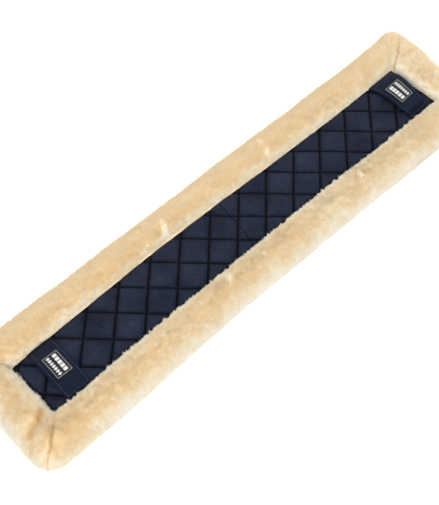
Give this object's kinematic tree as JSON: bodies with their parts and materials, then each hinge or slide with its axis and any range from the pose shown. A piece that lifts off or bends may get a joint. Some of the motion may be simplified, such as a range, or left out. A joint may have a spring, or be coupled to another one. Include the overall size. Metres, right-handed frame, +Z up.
{
  "type": "fleece girth sleeve",
  "caption": "Soft quilted sleeve with a lambskin underside and rolled fleece border; bands across the panel hold a saddle girth, and the strip bends to the horse.",
  "frame": {"origin": "centre of the rest plane, under the middle of the strip, on the fleece side", "axes": "+X along the strip towards the end whose keeper arches more, +Y across the strip, +Z up from the fleece to the quilted panel"},
  "size_m": [0.764, 0.188, 0.046],
  "materials": {
    "fleece": "honey lambskin pile, soft, lighter at the tips",
    "fleece_backing": "knitted backing of the pile",
    "foam": "open-cell foam",
    "lining": "plain woven lining",
    "wadding": "polyester wadding",
    "navy_twill": "quilted cotton-polyester twill with a slight sheen",
    "navy_thread": "fine sewing thread",
    "keeper_webbing": "twill band",
    "topstitch_thread": "fine topstitching thread",
    "label_cloth": "damask woven label ground",
    "label_thread": "woven pale thread"
  },
  "bodies": {
    "left_end": {"fleece_underside_left_end": "fleece", "fleece_roll_front_left_end": "fleece", "fleece_roll_rear_left_end": "fleece", "core_foam_left_end": "foam", "quilt_lining_left_end": "lining", "quilt_wadding_left_end": "wadding", "quilt_face_left_end": "navy_twill", "quilting_thread_left_end": "navy_thread", "edge_stitching_left_end": "navy_thread", "fleece_roll_end_left_end": "fleece", "mitre_seam_front_left_end": "fleece_backing", "mitre_seam_rear_left_end": "fleece_backing", "keeper_band_left_end": "keeper_webbing", "keeper_stitching_left_end": "topstitch_thread", "woven_label_left_end": "label_cloth", "label_border_left_end": "label_thread"},
    "left_mid": {"fleece_underside_left_mid": "fleece", "fleece_roll_front_left_mid": "fleece", "fleece_roll_rear_left_mid": "fleece", "core_foam_left_mid": "foam", "quilt_lining_left_mid": "lining", "quilt_wadding_left_mid": "wadding", "quilt_face_left_mid": "navy_twill", "quilting_thread_left_mid": "navy_thread", "edge_stitching_left_mid": "navy_thread", "centre_seam_stitches": "navy_thread"},
    "right_mid": {"fleece_underside_right_mid": "fleece", "fleece_roll_front_right_mid": "fleece", "fleece_roll_rear_right_mid": "fleece", "core_foam_right_mid": "foam", "quilt_lining_right_mid": "lining", "quilt_wadding_right_mid": "wadding", "quilt_face_right_mid": "navy_twill", "quilting_thread_right_mid": "navy_thread", "edge_stitching_right_mid": "navy_thread"},
    "right_end": {"fleece_underside_right_end": "fleece", "fleece_roll_front_right_end": "fleece", "fleece_roll_rear_right_end": "fleece", "core_foam_right_end": "foam", "quilt_lining_right_end": "lining", "quilt_wadding_right_end": "wadding", "quilt_face_right_end": "navy_twill", "quilting_thread_right_end": "navy_thread", "edge_stitching_right_end": "navy_thread", "fleece_roll_end_right_end": "fleece", "mitre_seam_front_right_end": "fleece_backing", "mitre_seam_rear_right_end": "fleece_backing", "keeper_band_right_end": "keeper_webbing", "keeper_stitching_right_end": "topstitch_thread", "woven_label_right_end": "label_cloth", "label_border_right_end": "label_thread"}
  },
  "joints": [
    {"name": "centre_bend", "type": "hinge", "parent": "left_mid", "child": "right_mid", "pos_m": [0, 0, 0.022], "axis": [0, 1, 0], "range_deg": [-30, 45]},
    {"name": "left_bend", "type": "hinge", "parent": "left_mid", "child": "left_end", "pos_m": [-0.19, 0, 0.022], "axis": [0, -1, 0], "range_deg": [-30, 45]},
    {"name": "right_bend", "type": "hinge", "parent": "right_mid", "child": "right_end", "pos_m": [0.19, 0, 0.022], "axis": [0, 1, 0], "range_deg": [-30, 45]}
  ]
}
